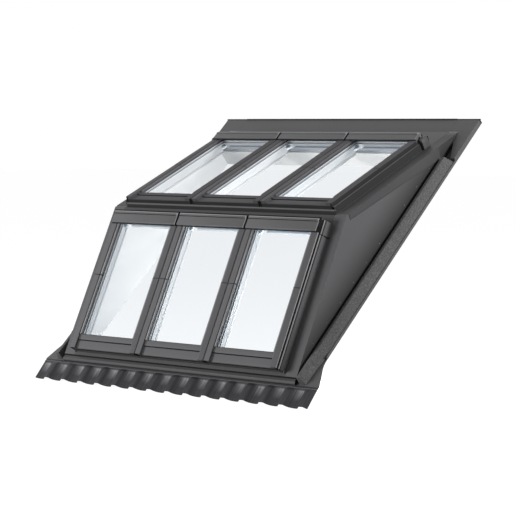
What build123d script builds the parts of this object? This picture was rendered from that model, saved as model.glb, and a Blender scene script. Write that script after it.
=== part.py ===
"""Roof dormer made of six centre-pivot roof windows between two triangular cheeks.

The origin is at mid width on the roof deck, under the foot of the front slope.
+X runs across the dormer, +Y runs into the roof and +Z is up. All sizes are in millimetres.
"""
from build123d import *
from math import cos, radians, sin, tan
import os

os.makedirs("parts", exist_ok=True)

# ---------------------------------------------------------------- slopes and overall sizes
roof_pitch = 41.4
front_pitch = 63.3
upper_pitch = 23.3
toe_height = 90.0
sheet = 2.0

# ---------------------------------------------------------------- windows
window_width = 780.0
lower_window_length = 1326.0
upper_window_length = 1398.0
window_gap = 18.0
lower_foot = 36.0
upper_foot = 30.0
front_margin = 81.0
side_margin = 156.0
lower_cover_height = 110.0
upper_cover_height = 98.0
frame_depth = 147.0
frame_bar = 36.0
sash_bar = 44.0
sash_clearance = 4.0
sash_depth = 96.0
glass_rebate = 24.0
glass_thickness = 24.0
glass_drop = 28.0
glass_clearance = 1.0

# ---------------------------------------------------------------- window covers
cover_sheet = 3.0
skirt_sheet = 2.0
skirt_gap = 1.0
skirt_length = 56.0
foot_drop = 23.0
side_cover = 57.0
side_lip = 13.0
lip_drop = 6.0
lip_tuck = 12.0
head_cover = 70.0
frame_cover_foot = 78.0
cover_groove = 4.0
sash_cover_foot = 131.0
pivot_height = 699.0
pivot_split = 2.0

# ---------------------------------------------------------------- hoods over the window heads
hood_sheet = 2.0
hood_gap = 14.0
hood_lift = 0.9
hood_radius = 5.0
hood_foot_tuck = 4.0
hood_crown_run = 14.0
lower_hood_depth = 116.0
lower_hood_setback = 6.0
lower_hood_nose = 19.0
lower_hood_crown = 23.0
lower_hood_back = 15.0
lower_hood_tail = 0.0
upper_hood_depth = 85.0
upper_hood_setback = 26.0
upper_hood_nose = 11.0
upper_hood_crown = 16.0
upper_hood_back = 40.0
upper_hood_tail = 18.0

# ---------------------------------------------------------------- cheeks and beams
cheek_thickness = 144.0
lining_sheet = 11.0
toe_setback = 4.0
plinth_reach = 12.0
beam_seat = 70.0
return_width = 122.0
upstand_gap = 6.0
upstand_height = 60.0
upstand_lip = 14.0
upstand_lean = 18.0
upstand_radius = 6.0
cheek_upstand = 50.0

# ---------------------------------------------------------------- cappings over the cheek edges
capping_start = 30.0
capping_stop = 60.0
capping_side_stop = 336.0
capping_drop_at_ridge = 53.0
capping_drop_at_head = 104.0
capping_step = 0.6
drip_reach = 6.0
drip_depth = 4.0

# ---------------------------------------------------------------- foot and ridge flashings
band_joint = 1.0
band_fall = 8.0
band_dip = 4.0
band_round = 16.0
band_reach = 50.0
band_tuck = 12.0
band_radius = 8.0
fold_radius = 1.0
strip_tuck = 3.0
ridge_joint = 0.5
ridge_upstand = 40.0
ridge_radius = 6.0

# ---------------------------------------------------------------- roof flashings
gutter_level = 44.0
gutter_joint = 0.5
gutter_reach = 140.0
gutter_lip = 12.0
gutter_upstand = 26.0
gutter_stop = 96.0
head_reach = 174.0
head_side = 104.0
head_hem = 14.0
head_hem_height = 6.0
head_hem_rise = 2.0
head_radius = 4.0
hem_radius = 2.0
corner_joint = 1.0
corner_clearance = 6.0
corner_length = 346.0
corner_notch = 100.0
ear_start = 250.0
ear_width = 98.0
ear_foot = -42.0
ear_waist_out = 0.55
ear_waist_up = 0.28
ear_flare = 0.5
foam_foot = -28.0
foam_stop = 366.0
foam_gap = 41.0
foam_base = 52.0
foam_lean = 8.0
foam_top = 10.0
foam_height = 80.0

# ---------------------------------------------------------------- pleated apron
apron_margin = 7.0
apron_fold = -58.0
apron_foot = -252.0
apron_foot_level = 19.0
apron_sheet = 3.0
pleat_count = 15
pleat_height = 30.0
pleat_start = 40.0
pleat_share_at_fold = 0.05

# ---------------------------------------------------------------- vent bars
vent_bar_length = 500.0
vent_bar_width = 40.0
vent_bar_height = 22.0

# ---------------------------------------------------------------- derived
window_pitch = window_width + window_gap
columns = {"left": -window_pitch, "middle": 0.0, "right": window_pitch}
window_edge = window_pitch + window_width / 2
half_width = window_edge + side_margin
front_length = lower_foot + lower_window_length + front_margin
lower_head = lower_foot + lower_window_length
upper_head = upper_foot + upper_window_length
roof_angle = radians(roof_pitch)
turn_at_foot = radians(front_pitch - roof_pitch)
turn_at_head = radians(roof_pitch - upper_pitch)
turn_at_ridge = radians(front_pitch - upper_pitch)
upper_length = front_length * sin(turn_at_foot) / sin(turn_at_head)
roof_run = front_length * sin(turn_at_ridge) / sin(turn_at_head)
ridge_miter = sheet * tan(turn_at_ridge / 2)
cheek_inner = half_width - cheek_thickness
core_outer = half_width - 2 * sheet
lining_inner = cheek_inner - lining_sheet
beam_length = 2 * lining_inner
return_inner = half_width - return_width
upstand_inner = window_edge + upstand_gap
head_joint = half_width - head_side
hood_width = window_pitch - hood_gap
gutter_edge = half_width + gutter_reach
ear_reach = gutter_edge + ear_width
apron_half_width = ear_reach - apron_margin
gutter_head = roof_run - gutter_stop
head_edge = roof_run + head_reach
corner_foot = roof_run - corner_length
foam_head = roof_run - foam_stop
foam_inner = half_width + foam_gap


def step(origin, pitch, along, out):
    """Point (y, z) that lies 'along' a slope of the given pitch and 'out' from it."""
    slope = radians(pitch)
    return (
        origin[0] + along * cos(slope) - out * sin(slope),
        origin[1] + along * sin(slope) + out * cos(slope),
    )


def on_roof(along, level):
    """Point (y, z) on the roof: distance up the roof and height over the deck."""
    return step((0.0, 0.0), roof_pitch, along, level)


toe = on_roof(0.0, toe_height)


def on_front(along, out):
    """Point (y, z) on the front slope, measured from its foot."""
    return step(toe, front_pitch, along, out)


ridge = on_front(front_length, 0.0)


def on_upper(along, out):
    """Point (y, z) on the upper slope, measured from the ridge."""
    return step(ridge, upper_pitch, along, out)


def slope_plane(point, pitch, x=0.0):
    """Plane that lies on a slope: x across, y up the slope, z out of it."""
    slope = radians(pitch)
    return Plane(origin=(x, *point), x_dir=(1, 0, 0), z_dir=(0, -sin(slope), cos(slope)))


def down_slope_plane(point, pitch, x=0.0):
    """Plane square to a slope: x across, y out of the slope, z down the slope."""
    slope = radians(pitch)
    return Plane(origin=(x, *point), x_dir=(1, 0, 0), z_dir=(0, -cos(slope), -sin(slope)))


def save(piece, name):
    piece.part.label = name
    export_step(piece.part, f"parts/{name}.step")


# ================================================================ windows
def window_frame(seat, length):
    """Outer timber frame: four bars round the opening, the foot bar lower than the others."""
    with BuildPart() as frame:
        with BuildSketch(seat.offset(-frame_depth)):
            with Locations((0, length / 2)):
                Rectangle(window_width, length)
                Rectangle(window_width - 2 * frame_bar, length - 2 * frame_bar, mode=Mode.SUBTRACT)
        extrude(amount=frame_depth - cover_sheet)
        with BuildSketch(seat.offset(-foot_drop - cover_sheet)):
            Rectangle(
                window_width - 2 * side_cover,
                frame_cover_foot,
                align=(Align.CENTER, Align.MIN),
            )
        extrude(amount=foot_drop + cover_sheet, mode=Mode.SUBTRACT)
    return frame


def window_sash(seat, length):
    """Pivoting sash inside the frame, rebated on its outer face for the glass."""
    sash_width = window_width - 2 * (frame_bar + sash_clearance)
    sash_length = length - 2 * (frame_bar + sash_clearance)
    rebate_floor = glass_drop + glass_thickness
    with BuildPart() as sash:
        with BuildSketch(seat.offset(-sash_depth)):
            with Locations((0, length / 2)):
                Rectangle(sash_width, sash_length)
                Rectangle(sash_width - 2 * sash_bar, sash_length - 2 * sash_bar, mode=Mode.SUBTRACT)
        extrude(amount=sash_depth - rebate_floor)
        with BuildSketch(seat.offset(-rebate_floor)):
            with Locations((0, length / 2)):
                Rectangle(sash_width, sash_length)
                Rectangle(
                    sash_width - 2 * glass_rebate,
                    sash_length - 2 * glass_rebate,
                    mode=Mode.SUBTRACT,
                )
        extrude(amount=rebate_floor - lip_drop - cover_sheet)
        with BuildSketch(seat.offset(-foot_drop - cover_sheet)):
            Rectangle(sash_width, sash_cover_foot, align=(Align.CENTER, Align.MIN))
        extrude(amount=foot_drop + cover_sheet, mode=Mode.SUBTRACT)
    return sash


def window_glass(seat, length):
    """Sealed glass unit lying in the sash rebate."""
    inset = frame_bar + sash_clearance + glass_rebate + glass_clearance
    with BuildPart() as glass:
        with BuildSketch(seat.offset(-glass_drop - glass_thickness)):
            with Locations((0, length / 2)):
                Rectangle(window_width - 2 * inset, length - 2 * inset)
        extrude(amount=glass_thickness)
    return glass


def window_covers(seat, length):
    """Stepped metal covers on the frame and on the sash, parted at the pivot.

    The side covers stand proud, with a narrow lip that steps down to the glass. The foot
    covers lie lower, level with the glass, so that rain runs off the glass over them.
    """
    outer = window_width / 2 + skirt_gap + skirt_sheet
    skirt_inner = outer - skirt_sheet
    side = window_width / 2 - side_cover
    lip = side - side_lip
    lip_back = lip + cover_sheet
    foot = -skirt_gap - skirt_sheet
    sash_foot = frame_cover_foot + cover_groove
    head = length
    glass_head = head - head_cover
    with BuildPart() as covers:
        # frame cover: side and head faces
        with BuildSketch(seat.offset(-cover_sheet)):
            Polygon((-outer, foot), (outer, foot), (outer, head), (-outer, head), align=None)
            Polygon(
                (-side, foot), (side, foot), (side, glass_head), (-side, glass_head),
                align=None, mode=Mode.SUBTRACT,
            )
        extrude(amount=cover_sheet)
        # frame cover: skirts down the outside and the foot
        with BuildSketch(seat.offset(-skirt_length)):
            Polygon((-outer, foot), (outer, foot), (outer, head), (-outer, head), align=None)
            Polygon(
                (-skirt_inner, -skirt_gap), (skirt_inner, -skirt_gap),
                (skirt_inner, head), (-skirt_inner, head),
                align=None, mode=Mode.SUBTRACT,
            )
        extrude(amount=skirt_length - cover_sheet)
        with BuildSketch(seat.offset(-foot_drop)):
            Polygon((-side, foot), (side, foot), (side, 0), (-side, 0), align=None)
        extrude(amount=foot_drop, mode=Mode.SUBTRACT)
        # foot cover of the frame, and the steps between it and the side faces
        with BuildSketch(seat.offset(-foot_drop - cover_sheet)):
            Polygon(
                (-side, foot), (side, foot),
                (side, frame_cover_foot), (-side, frame_cover_foot),
                align=None,
            )
        extrude(amount=cover_sheet)
        with BuildSketch(seat.offset(-foot_drop - cover_sheet)):
            for way in (-1, 1):
                Polygon(
                    (way * (side - skirt_sheet), foot),
                    (way * side, foot),
                    (way * side, sash_cover_foot),
                    (way * (side - skirt_sheet), sash_cover_foot),
                    align=None,
                )
        extrude(amount=foot_drop + cover_sheet)
        # lips along the glass, tucked under the side faces
        with BuildSketch(seat.offset(-lip_drop - cover_sheet)):
            for way in (-1, 1):
                Polygon(
                    (way * lip, sash_cover_foot),
                    (way * (side + lip_tuck), sash_cover_foot),
                    (way * (side + lip_tuck), glass_head),
                    (way * lip, glass_head),
                    align=None,
                )
        extrude(amount=cover_sheet)
        with BuildSketch(seat.offset(-glass_drop)):
            Polygon(
                (-lip_back, sash_cover_foot), (lip_back, sash_cover_foot),
                (lip_back, glass_head + cover_sheet), (-lip_back, glass_head + cover_sheet),
                align=None,
            )
            Polygon(
                (-lip, sash_cover_foot), (lip, sash_cover_foot), (lip, glass_head), (-lip, glass_head),
                align=None, mode=Mode.SUBTRACT,
            )
        extrude(amount=glass_drop - lip_drop)
        with BuildSketch(seat.offset(-lip_drop)):
            Polygon(
                (-lip_back, glass_head), (lip_back, glass_head),
                (lip_back, glass_head + cover_sheet), (-lip_back, glass_head + cover_sheet),
                align=None,
            )
        extrude(amount=lip_drop)
        # foot cover of the sash
        with BuildSketch(seat.offset(-foot_drop - cover_sheet)):
            Polygon(
                (-side, sash_foot), (side, sash_foot),
                (side, sash_cover_foot), (-side, sash_cover_foot),
                align=None,
            )
        extrude(amount=cover_sheet)
        # the covers part at the pivot, about half way up
        with BuildSketch(seat.offset(-skirt_length)):
            with Locations((0, pivot_height)):
                Rectangle(2 * outer + cover_sheet, pivot_split)
        extrude(amount=skirt_length + cover_sheet, mode=Mode.SUBTRACT)
    return covers


def window_row(row, foot_point, pitch, length):
    """One row of three windows."""
    for column, x in columns.items():
        seat = slope_plane(foot_point, pitch, x)
        save(window_frame(seat, length), f"{row}_{column}_frame")
        save(window_sash(seat, length), f"{row}_{column}_sash")
        save(window_glass(seat, length), f"{row}_{column}_glass")
        save(window_covers(seat, length), f"{row}_{column}_covers")


window_row("lower", on_front(lower_foot, lower_cover_height), front_pitch, lower_window_length)
window_row("upper", on_upper(upper_foot, upper_cover_height), upper_pitch, upper_window_length)


# ================================================================ hoods over the window heads
def hood_profile(place, cover, head, depth, nose, crown, back, tail):
    """Outer line of a hood from its foot over its crown to its head."""
    foot = head - depth
    seat = cover + hood_lift
    return [
        place(foot + hood_foot_tuck, seat),
        place(foot, cover + nose),
        place(foot + hood_crown_run, cover + crown),
        place(head, cover + back),
        place(head + tail, seat),
    ]


def hood_row(profile, name):
    """Three folded hoods side by side, closed at their ends."""
    half = hood_width / 2
    with BuildPart() as hoods:
        for x in columns.values():
            with BuildSketch(Plane.YZ.offset(x)):
                with BuildLine():
                    FilletPolyline(*profile, radius=hood_radius)
                    offset(amount=hood_sheet, side=Side.RIGHT)
                make_face()
            extrude(amount=half, both=True)
            with BuildSketch(Plane.YZ.offset(x - half), Plane.YZ.offset(x + half - hood_sheet)):
                with BuildLine():
                    FilletPolyline(*profile, radius=hood_radius)
                    Line(profile[-1], profile[0])
                make_face()
            extrude(amount=hood_sheet)
    save(hoods, name)


hood_row(
    hood_profile(
        on_front, lower_cover_height, lower_head - lower_hood_setback, lower_hood_depth,
        lower_hood_nose, lower_hood_crown, lower_hood_back, lower_hood_tail,
    ),
    "lower_hoods",
)
hood_row(
    hood_profile(
        on_upper, upper_cover_height, upper_head - upper_hood_setback, upper_hood_depth,
        upper_hood_nose, upper_hood_crown, upper_hood_back, upper_hood_tail,
    ),
    "upper_hoods",
)

# ================================================================ beams between the cheeks
lower_seat = lower_cover_height - frame_depth
upper_seat = upper_cover_height - frame_depth


def beam(points, name):
    """Timber across the dormer between the cheek linings."""
    with BuildPart() as timber:
        with BuildSketch(Plane.YZ):
            Polygon(*points, align=None)
        extrude(amount=beam_length / 2, both=True)
    save(timber, name)


plinth_top = gutter_level - apron_sheet
wall_foot = [
    on_roof(-plinth_reach, 0),
    on_roof(-plinth_reach, plinth_top),
    on_roof(toe_setback, plinth_top),
    on_roof(toe_setback, toe_height + toe_setback * tan(turn_at_foot) - 2 * sheet),
]
seat_back = on_front(lower_foot + beam_seat, lower_seat)
seat_back_run = seat_back[0] * cos(roof_angle) + seat_back[1] * sin(roof_angle)
beam(
    [
        *wall_foot,
        on_front(lower_foot - sheet, -sheet),
        on_front(lower_foot - sheet, lower_seat),
        seat_back,
        on_roof(seat_back_run, 0),
    ],
    "sill_beam",
)

ridge_back = on_upper(upper_foot + beam_seat, upper_seat)
ridge_front = on_front(lower_head - beam_seat, lower_seat)
beam(
    [
        ridge_front,
        on_front(lower_head + sheet, lower_seat),
        on_front(lower_head + sheet, -sheet),
        on_front(front_length - ridge_miter, -sheet),
        on_upper(upper_foot - sheet, -sheet),
        on_upper(upper_foot - sheet, upper_seat),
        ridge_back,
        (ridge_back[0], ridge_front[1] - sheet),
        (ridge_front[0], ridge_front[1] - sheet),
    ],
    "ridge_beam",
)

head_front = on_upper(upper_head - beam_seat, upper_seat)
head_front_run = head_front[0] * cos(roof_angle) + head_front[1] * sin(roof_angle)
beam(
    [
        on_roof(head_front_run, 0),
        head_front,
        on_upper(upper_head + sheet, upper_seat),
        on_upper(upper_head + sheet, -sheet),
        on_upper(upper_length, -sheet),
        on_roof(roof_run, 0),
    ],
    "head_beam",
)


# ================================================================ posts and gutters between windows
mullion_width = window_gap - 1.0
gutter_width = window_gap - 2 * (skirt_gap + skirt_sheet) - 1.0
lower_gutter = lower_cover_height - skirt_length
upper_gutter = upper_cover_height - skirt_length
gaps = (-window_pitch / 2, window_pitch / 2)

with BuildPart() as mullions:
    for seat, top, foot, head, place, pitch in (
        (lower_seat, lower_gutter, lower_foot, lower_head, on_front, front_pitch),
        (upper_seat, upper_gutter, upper_foot, upper_head, on_upper, upper_pitch),
    ):
        for x in gaps:
            with BuildSketch(slope_plane(place((foot + head) / 2, seat), pitch, x)):
                Rectangle(mullion_width, head - foot)
            extrude(amount=top - seat)
save(mullions, "mullion_rafters")

with BuildPart() as gutters:
    for floor, foot, head, place, pitch in (
        (lower_gutter, lower_foot, lower_head, on_front, front_pitch),
        (upper_gutter, upper_foot, upper_head, on_upper, upper_pitch),
    ):
        for x in gaps:
            with BuildSketch(down_slope_plane(place(head, floor), pitch, x)):
                half = gutter_width / 2
                Polygon(
                    (-half, 0), (half, 0), (half, gutter_lip), (half - sheet, gutter_lip),
                    (half - sheet, sheet), (sheet - half, sheet), (sheet - half, gutter_lip),
                    (-half, gutter_lip), align=None,
                )
            extrude(amount=head - foot)
save(gutters, "mullion_gutters")


# ================================================================ cheeks
def cheek_slab(side, near, far, name):
    """Flat triangular layer of a cheek between two distances from mid width."""
    low, high = sorted((side * near, side * far))
    with BuildPart() as layer:
        with BuildSketch(Plane.YZ.offset(low)):
            Polygon(
                *wall_foot,
                on_front(front_length - ridge_miter, -sheet),
                on_upper(upper_length, -sheet),
                on_roof(roof_run, 0),
                align=None,
            )
        extrude(amount=high - low)
    save(layer, name)


def cheek_cladding(side, name):
    """Outer sheet of a cheek, returned over both slopes and turned up beside the windows."""
    with BuildPart() as cladding:
        low, high = sorted((side * (half_width - sheet), side * half_width))
        with BuildSketch(Plane.YZ.offset(low)):
            Polygon(
                on_roof(toe_setback, gutter_level + 2 * sheet),
                on_roof(toe_setback, toe_height - sheet),
                toe,
                ridge,
                on_upper(upper_length, 0),
                on_roof(roof_run, gutter_level + 2 * sheet),
                align=None,
            )
        extrude(amount=high - low)
        low, high = sorted((side * return_inner, side * half_width))
        with BuildSketch(Plane.YZ.offset(low)):
            Polygon(
                on_front(sheet, 0),
                ridge,
                on_upper(upper_length - sheet, 0),
                on_upper(upper_length - sheet, -sheet),
                on_front(front_length - ridge_miter, -sheet),
                on_front(sheet, -sheet),
                align=None,
            )
        extrude(amount=high - low)
        for place, pitch, start, end in (
            (on_front, front_pitch, lower_foot, lower_head),
            (on_upper, upper_pitch, upper_foot, upper_head),
        ):
            with BuildSketch(down_slope_plane(place(end, 0), pitch)):
                with BuildLine():
                    FilletPolyline(
                        (side * upstand_inner, upstand_height),
                        (side * (upstand_inner + upstand_lip), upstand_height),
                        (side * (return_inner + upstand_lip - upstand_lean), -sheet),
                        (side * (return_inner + upstand_lip), -sheet),
                        radius=upstand_radius,
                    )
                    offset(amount=sheet, side=Side.LEFT if side > 0 else Side.RIGHT)
                make_face()
            extrude(amount=end - start)
    save(cladding, name)


for name, side in (("left", -1), ("right", 1)):
    cheek_slab(side, cheek_inner, core_outer, f"{name}_cheek")
    cheek_slab(side, lining_inner, cheek_inner, f"{name}_cheek_lining")
    cheek_cladding(side, f"{name}_cheek_cladding")


# ================================================================ folded flashings across the dormer
def folded_sheet(points, half_length, name, radius):
    """Sheet folded along a line of points and run across the dormer."""
    with BuildPart() as folded:
        with BuildSketch(Plane.YZ):
            with BuildLine():
                FilletPolyline(*points, radius=radius)
                offset(amount=sheet, side=Side.LEFT)
            make_face()
        extrude(amount=half_length, both=True)
    save(folded, name)


band_start = on_roof(-band_joint, toe_height - band_fall)
with BuildPart() as sill:
    # rounded band along the foot of the front slope, and its flange on the apron
    with BuildSketch(Plane.YZ):
        with BuildLine():
            FilletPolyline(
                band_start,
                on_roof(band_round - band_reach, toe_height - band_fall - band_dip),
                on_roof(-band_reach, toe_height - band_fall - band_dip - band_round),
                on_roof(band_tuck - band_reach, gutter_level),
                on_roof(apron_fold, gutter_level),
                radius=[band_radius, band_radius, fold_radius],
            )
            offset(amount=sheet, side=Side.RIGHT)
        make_face()
    extrude(amount=half_width, both=True)
    # strip between the band and the windows
    with BuildSketch(Plane.YZ):
        Polygon(
            on_front(lower_foot - sheet, -sheet),
            on_front(lower_foot - sheet, 0),
            on_front(0, 0),
            on_roof(-strip_tuck, toe_height - band_fall),
            band_start,
            on_front(strip_tuck, -sheet),
            align=None,
        )
    extrude(amount=return_inner - gutter_joint, both=True)
save(sill, "sill_flashing")

folded_sheet(
    [
        on_upper(upper_foot - sheet, ridge_upstand),
        on_upper(upper_foot - sheet, 0),
        ridge,
        on_front(lower_head + sheet, 0),
    ],
    return_inner - ridge_joint,
    "ridge_flashing",
    radius=[ridge_radius, fold_radius],
)

folded_sheet(
    [
        on_upper(upper_head + sheet, upper_cover_height - 2 * sheet),
        on_upper(upper_head + sheet, 0),
        on_upper(upper_length, 0),
        on_roof(head_edge, toe_height),
        on_roof(head_edge, toe_height + head_hem_height),
        on_roof(head_edge - head_hem, toe_height + head_hem_height + head_hem_rise),
    ],
    head_joint,
    "head_flashing",
    radius=[head_radius, head_radius, hem_radius, hem_radius],
)


# ================================================================ side gutters with their ears
def side_gutter(side, name):
    """Gutter beside a cheek: floor with a widened foot, and turned-up edges."""
    with BuildPart() as gutter:
        with BuildSketch(slope_plane(on_roof(0, gutter_level), roof_pitch)):
            with BuildLine():
                Polyline(
                    (side * ear_reach, ear_foot),
                    (side * (half_width + gutter_joint), ear_foot),
                    (side * (half_width + gutter_joint), cheek_upstand),
                    (side * core_outer, cheek_upstand),
                    (side * core_outer, gutter_head),
                    (side * gutter_edge, gutter_head),
                    (side * gutter_edge, ear_start),
                )
                Spline(
                    (side * gutter_edge, ear_start),
                    (side * (gutter_edge + ear_waist_out * ear_width), ear_waist_up * ear_start),
                    (side * ear_reach, ear_foot),
                    tangents=[(0, -1), (side * ear_flare, -1)],
                )
            make_face()
        extrude(amount=sheet)
        low, high = sorted((side * (gutter_edge - sheet), side * gutter_edge))
        with BuildSketch(Plane.YZ.offset(low)):
            Polygon(
                on_roof(ear_start, gutter_level),
                on_roof(ear_start + gutter_upstand, gutter_level + gutter_upstand),
                on_roof(gutter_head, gutter_level + gutter_upstand),
                on_roof(gutter_head, gutter_level),
                align=None,
            )
        extrude(amount=high - low)
        low, high = sorted((side * core_outer, side * (core_outer + sheet)))
        with BuildSketch(Plane.YZ.offset(low)):
            Polygon(
                on_roof(cheek_upstand, gutter_level),
                on_roof(cheek_upstand, toe_height),
                on_roof(3 * cheek_upstand, toe_height + cheek_upstand),
                on_roof(gutter_head - 3 * cheek_upstand, toe_height + cheek_upstand),
                on_roof(gutter_head, toe_height - sheet),
                on_roof(gutter_head, gutter_level),
                align=None,
            )
        extrude(amount=high - low)
    save(gutter, name)


side_gutter(-1, "left_side_flashing")
side_gutter(1, "right_side_flashing")

with BuildPart() as foam:
    for side in (-1, 1):
        with BuildSketch(down_slope_plane(on_roof(foam_head, gutter_level + sheet), roof_pitch)):
            Polygon(
                (side * foam_inner, 0),
                (side * (foam_inner + foam_base), 0),
                (side * (foam_inner + foam_lean + foam_top), foam_height),
                (side * (foam_inner + foam_lean), foam_height),
                align=None,
            )
        extrude(amount=foam_head - foam_foot)
save(foam, "foam_strips")

# ================================================================ corner pieces of the head
with BuildPart() as corners:
    for side in (-1, 1):
        with BuildSketch(slope_plane(on_roof(0, toe_height), roof_pitch)):
            Polygon(
                (side * (head_joint + corner_joint), roof_run),
                (side * (head_joint + corner_joint), head_edge),
                (side * gutter_edge, head_edge),
                (side * gutter_edge, corner_foot),
                (side * (foam_inner + foam_base + corner_clearance), corner_foot),
                (side * (half_width + corner_clearance), roof_run - corner_notch),
                (side * (half_width + corner_clearance), roof_run),
                align=None,
            )
        extrude(amount=sheet)
        low, high = sorted((side * (gutter_edge - sheet), side * gutter_edge))
        with BuildSketch(Plane.YZ.offset(low)):
            Polygon(
                on_roof(corner_foot, toe_height),
                on_roof(corner_foot, gutter_level + gutter_upstand),
                on_roof(gutter_head, gutter_level + gutter_upstand),
                on_roof(gutter_head, gutter_level),
                on_roof(head_edge, gutter_level),
                on_roof(head_edge, toe_height),
                align=None,
            )
        extrude(amount=high - low)
save(corners, "head_corner_pieces")

# ================================================================ cappings over the cheek edges
capping_end = upper_length - capping_stop
side_end = upper_length - capping_side_stop
with BuildPart() as cappings:
    for side in (-1, 1):
        # top face on the return of the cladding
        low, high = sorted((side * (head_joint + sheet), side * (half_width + sheet)))
        with BuildSketch(Plane.YZ.offset(low)):
            Polygon(
                on_upper(capping_start, 0), on_upper(capping_end, 0),
                on_upper(capping_end, sheet), on_upper(capping_start, sheet),
                align=None,
            )
        extrude(amount=high - low)
        # side face, deeper towards the head
        low, high = sorted((side * half_width, side * (half_width + sheet)))
        with BuildSketch(Plane.YZ.offset(low)):
            Polygon(
                on_upper(capping_start, sheet), on_upper(side_end, sheet),
                on_upper(side_end, -capping_drop_at_head),
                on_upper(capping_start, -capping_drop_at_ridge),
                align=None,
            )
        extrude(amount=high - low)
        # upper step of the side face
        low, high = sorted((side * (half_width + sheet), side * (half_width + 2 * sheet)))
        with BuildSketch(Plane.YZ.offset(low)):
            Polygon(
                on_upper(capping_start, sheet), on_upper(side_end, sheet),
                on_upper(side_end, -capping_step * capping_drop_at_head),
                on_upper(capping_start, -capping_step * capping_drop_at_ridge),
                align=None,
            )
        extrude(amount=high - low)
        # drip edge
        low, high = sorted((side * (half_width + sheet), side * (half_width + drip_reach)))
        with BuildSketch(Plane.YZ.offset(low)):
            Polygon(
                on_upper(capping_start, drip_depth - capping_drop_at_ridge),
                on_upper(side_end, drip_depth - capping_drop_at_head),
                on_upper(side_end, -capping_drop_at_head),
                on_upper(capping_start, -capping_drop_at_ridge),
                align=None,
            )
        extrude(amount=high - low)
save(cappings, "cheek_cappings")

# ================================================================ pleated apron
pleat_pitch = 2 * apron_half_width / pleat_count
pleat_shape = [
    (0.0, -0.02), (0.14, -0.25), (0.28, -0.34), (0.44, -0.33), (0.50, -0.15), (0.57, 0.36),
    (0.62, 0.60), (0.68, 0.64), (0.79, 0.63), (0.85, 0.52), (0.92, 0.22), (1.0, -0.02),
]
fold_level = gutter_level - apron_sheet
fold_point = on_roof(apron_fold, fold_level)
foot_point = on_roof(apron_foot, apron_foot_level)
apron_run = ((fold_point[0] - foot_point[0]) ** 2 + (fold_point[1] - foot_point[1]) ** 2) ** 0.5


def pleat_section(start, share):
    """Closed outline of the wavy sheet across one pleat."""
    top = [(start + u * pleat_pitch, share * v * pleat_height + apron_sheet) for u, v in pleat_shape]
    low = [(x, y - apron_sheet) for x, y in reversed(top)]
    return top + low


with BuildPart() as apron:
    with BuildSketch(slope_plane(fold_point, roof_pitch)):
        Rectangle(2 * half_width, toe_setback - apron_fold - sheet, align=(Align.CENTER, Align.MIN))
        Rectangle(2 * apron_half_width, ear_foot - apron_fold, align=(Align.CENTER, Align.MIN))
    extrude(amount=apron_sheet)
    for number in range(pleat_count):
        start = -apron_half_width + number * pleat_pitch
        for run, share in ((0.0, pleat_share_at_fold), (pleat_start, 1.0), (apron_run, 1.0)):
            along = run / apron_run
            point = (
                fold_point[0] + along * (foot_point[0] - fold_point[0]),
                fold_point[1] + along * (foot_point[1] - fold_point[1]),
            )
            with BuildSketch(down_slope_plane(point, roof_pitch)):
                Polygon(*pleat_section(start, share), align=None)
        loft(ruled=True)
save(apron, "apron")

# ================================================================ vent bars inside the glass
with BuildPart() as vent_bars:
    for place, head, cover, pitch in (
        (on_front, lower_head, lower_cover_height, front_pitch),
        (on_upper, upper_head, upper_cover_height, upper_pitch),
    ):
        for x in columns.values():
            inner = frame_bar + sash_clearance + sash_bar
            bar_point = place(head - inner, cover - sash_depth)
            with BuildSketch(slope_plane(bar_point, pitch, x)):
                Rectangle(vent_bar_length, vent_bar_width, align=(Align.CENTER, Align.MAX))
            extrude(amount=vent_bar_height)
save(vent_bars, "vent_bars")
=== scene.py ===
# A roof dormer: six centre-pivot windows in two slopes between two sheet-clad cheeks.
from math import cos, radians, sin

import bmesh
import bpy
from mathutils import Matrix, Vector


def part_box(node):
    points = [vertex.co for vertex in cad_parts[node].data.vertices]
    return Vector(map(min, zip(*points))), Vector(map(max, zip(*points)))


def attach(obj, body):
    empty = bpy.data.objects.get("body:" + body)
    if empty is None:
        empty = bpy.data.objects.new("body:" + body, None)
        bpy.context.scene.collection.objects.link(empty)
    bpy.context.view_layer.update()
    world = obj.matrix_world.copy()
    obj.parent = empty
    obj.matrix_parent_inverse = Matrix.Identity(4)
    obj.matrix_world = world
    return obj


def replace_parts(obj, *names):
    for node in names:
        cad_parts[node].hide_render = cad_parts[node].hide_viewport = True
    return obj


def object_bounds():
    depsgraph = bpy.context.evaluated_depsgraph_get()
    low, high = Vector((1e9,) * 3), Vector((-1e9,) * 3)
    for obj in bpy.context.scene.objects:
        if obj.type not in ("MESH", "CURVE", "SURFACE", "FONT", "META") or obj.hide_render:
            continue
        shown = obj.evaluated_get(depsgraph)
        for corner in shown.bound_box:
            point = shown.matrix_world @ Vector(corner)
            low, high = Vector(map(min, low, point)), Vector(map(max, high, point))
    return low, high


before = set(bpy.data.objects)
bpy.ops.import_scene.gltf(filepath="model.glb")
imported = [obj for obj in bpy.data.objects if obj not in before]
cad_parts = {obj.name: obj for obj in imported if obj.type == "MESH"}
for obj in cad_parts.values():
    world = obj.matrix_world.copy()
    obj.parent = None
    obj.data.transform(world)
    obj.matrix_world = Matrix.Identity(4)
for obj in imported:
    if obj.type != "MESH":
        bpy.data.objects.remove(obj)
cad_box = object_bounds()

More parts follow.
